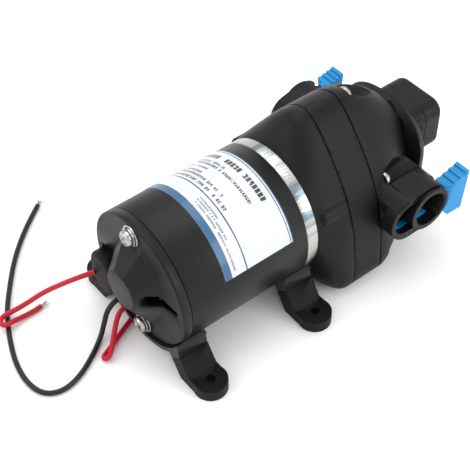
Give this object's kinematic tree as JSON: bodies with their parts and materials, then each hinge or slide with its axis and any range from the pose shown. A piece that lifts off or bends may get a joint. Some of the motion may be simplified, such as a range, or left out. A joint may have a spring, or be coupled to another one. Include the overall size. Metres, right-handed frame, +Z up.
{
  "type": "diaphragm water pump",
  "caption": "Compact 12 V diaphragm water pump: can motor, chambered pump head, side ports with slide clips, pressure switch, rubber feet and loose leads.",
  "frame": {"origin": "centre of the four foot holes, on the surface that the pump stands on", "axes": "+X along the motor towards the pump head and switch, +Y to the left seen from behind the motor, +Z up"},
  "size_m": [0.2577, 0.1755, 0.0984],
  "materials": {
    "motor_black": "semi-gloss black paint",
    "label_white": "satin printed film, white with blue bands",
    "bell_aluminium": "turned",
    "black_plastic": "satin black moulding",
    "black_rubber": "matte",
    "blue_plastic": "semi-gloss azure moulding",
    "pale_plastic": "satin",
    "bright_steel": "nickel plated",
    "core_steel": "dull",
    "saddle_steel": "black paint",
    "magnet_iron": "sintered",
    "copper_wire": "copper",
    "brass": "plain",
    "carbon": "graphite",
    "lead_black": "satin insulation",
    "lead_red": "satin insulation"
  },
  "bodies": {
    "housing": {"motor_can": "motor_black", "name_label": "label_white", "front_bell": "bell_aluminium", "rear_cover": "black_plastic", "wire_grommets": "black_rubber", "wire_boot": "black_rubber", "through_bolts": "bright_steel", "flat_washers": "bright_steel", "spring_washers": "bright_steel", "field_magnets": "magnet_iron", "motor_bearing_outer_rings": "bright_steel", "brush_holders": "brass", "carbon_brushes": "carbon", "brush_springs": "bright_steel", "rear_saddle": "saddle_steel", "front_saddle": "saddle_steel", "foot_rear_left": "black_rubber", "foot_rear_right": "black_rubber", "foot_front_left": "black_rubber", "foot_front_right": "black_rubber", "drive_housing": "black_plastic", "lead_entry_grommet": "black_rubber", "diaphragm": "black_rubber", "valve_housing": "black_plastic", "inlet_valves": "black_rubber", "outlet_valve": "black_rubber", "housing_seal": "black_rubber", "upper_housing": "black_plastic", "head_screws": "bright_steel", "port_seals": "black_rubber", "front_cover": "black_plastic", "front_cover_screws": "bright_steel", "switch_base": "black_plastic", "switch_cap": "black_plastic", "switch_diaphragm": "black_rubber", "micro_switch": "black_plastic", "switch_spring": "bright_steel", "switch_screws": "bright_steel", "black_lead": "lead_black", "red_lead": "lead_red", "switch_lead": "lead_red", "black_lead_strands": "copper_wire", "red_lead_strands": "copper_wire"},
    "rotor": {"armature_core": "core_steel", "armature_winding": "copper_wire", "commutator": "copper_wire", "motor_shaft": "bright_steel", "motor_bearing_inner_rings": "bright_steel", "motor_bearing_balls": "bright_steel", "eccentric_cam": "core_steel", "cam_bearing_inner_ring": "bright_steel", "cam_bearing_balls": "bright_steel"},
    "wobbler": {"wobble_plate": "pale_plastic", "cam_bearing_outer_ring": "bright_steel", "pistons": "pale_plastic", "piston_screws": "bright_steel"},
    "clip_left": {"slide_clip_left": "blue_plastic"},
    "clip_right": {"slide_clip_right": "blue_plastic"},
    "plunger": {"switch_plunger": "pale_plastic"}
  },
  "joints": [
    {"name": "rotor_spin", "type": "hinge", "parent": "housing", "child": "rotor", "pos_m": [0, 0, 0.044], "axis": [1, 0, 0], "continuous": true},
    {"name": "wobble", "type": "hinge", "parent": "rotor", "child": "wobbler", "pos_m": [0.0532, 0, 0.044], "axis": [0.9981, 0, -0.061], "continuous": true},
    {"name": "clip_left_slide", "type": "slide", "parent": "housing", "child": "clip_left", "axis": [1, 0, 0], "range_m": [0, 0.0075]},
    {"name": "clip_right_slide", "type": "slide", "parent": "housing", "child": "clip_right", "axis": [1, 0, 0], "range_m": [0, 0.0075]},
    {"name": "plunger_slide", "type": "slide", "parent": "housing", "child": "plunger", "axis": [1, 0, 0], "range_m": [0, 0.0015], "stiffness_N_per_m": 1500}
  ],
  "couplings": [
    {"joint": "wobble", "follows": "rotor_spin", "ratio": -1}
  ]
}
